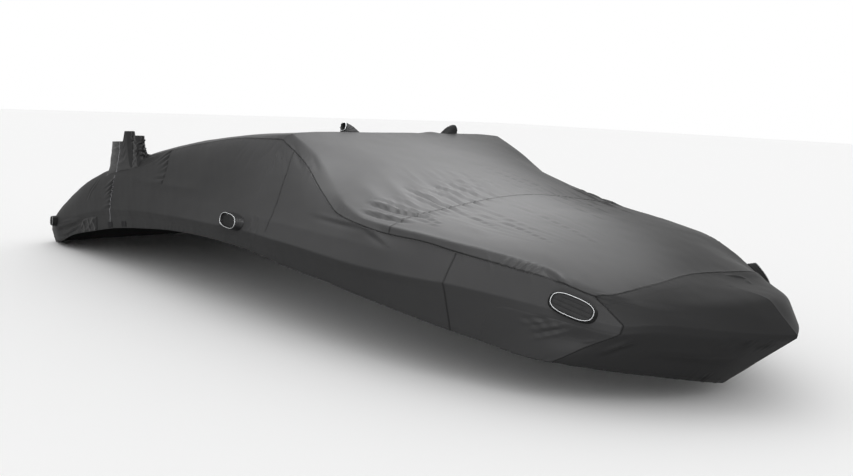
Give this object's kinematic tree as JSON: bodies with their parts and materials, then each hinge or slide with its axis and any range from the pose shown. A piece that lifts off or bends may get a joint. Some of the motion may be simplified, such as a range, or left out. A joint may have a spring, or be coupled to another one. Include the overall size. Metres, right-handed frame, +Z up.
{
  "type": "boat cover",
  "caption": "Fitted cover for an open boat with a tow tower: sewn cloth panels, hollow below, with sleeves for the tower's legs and hooded vents.",
  "frame": {"origin": "under the top at the middle of the beam, where the windshield's top edge bears on the cloth", "axes": "+X towards the bow, +Y to port, +Z up"},
  "size_m": [7.117, 2.6908, 1.3397],
  "materials": {
    "top_cloth": "matte woven polyester, grey",
    "side_cloth": "matte woven polyester, dark grey",
    "cap_cloth": "matte woven polyester, charcoal",
    "boot_cloth": "matte woven polyester, near black",
    "patch_cloth": "matte woven polyester, charcoal",
    "strap_web": "black webbing",
    "vent_plastic": "black moulded plastic",
    "piping": "light grey piping"
  },
  "bodies": {
    "root": {"aft_top": "top_cloth", "windshield_panel": "top_cloth", "foredeck_panel": "top_cloth", "bow_cap": "cap_cloth", "side_aft_stbd": "side_cloth", "side_aft_port": "side_cloth", "side_fore_stbd": "side_cloth", "side_fore_port": "side_cloth", "stern_panel": "side_cloth", "boot_aft_stbd": "boot_cloth", "boot_fore_stbd": "boot_cloth", "wear_patch_stbd": "patch_cloth", "stern_patch_stbd": "patch_cloth", "strap_tab_1_stbd": "strap_web", "strap_tab_2_stbd": "strap_web", "vent_bow_stbd": "vent_plastic", "vent_side_stbd": "vent_plastic", "vent_stern_stbd": "vent_plastic", "vent_top_stbd": "vent_plastic", "piping_bow_stbd": "piping", "piping_side_stbd": "piping", "piping_stern_stbd": "piping", "piping_top_stbd": "piping", "boot_aft_port": "boot_cloth", "boot_fore_port": "boot_cloth", "wear_patch_port": "patch_cloth", "stern_patch_port": "patch_cloth", "strap_tab_1_port": "strap_web", "strap_tab_2_port": "strap_web", "vent_bow_port": "vent_plastic", "vent_side_port": "vent_plastic", "vent_stern_port": "vent_plastic", "vent_top_port": "vent_plastic", "piping_bow_port": "piping", "piping_side_port": "piping", "piping_stern_port": "piping", "piping_top_port": "piping"}
  },
  "joints": []
}
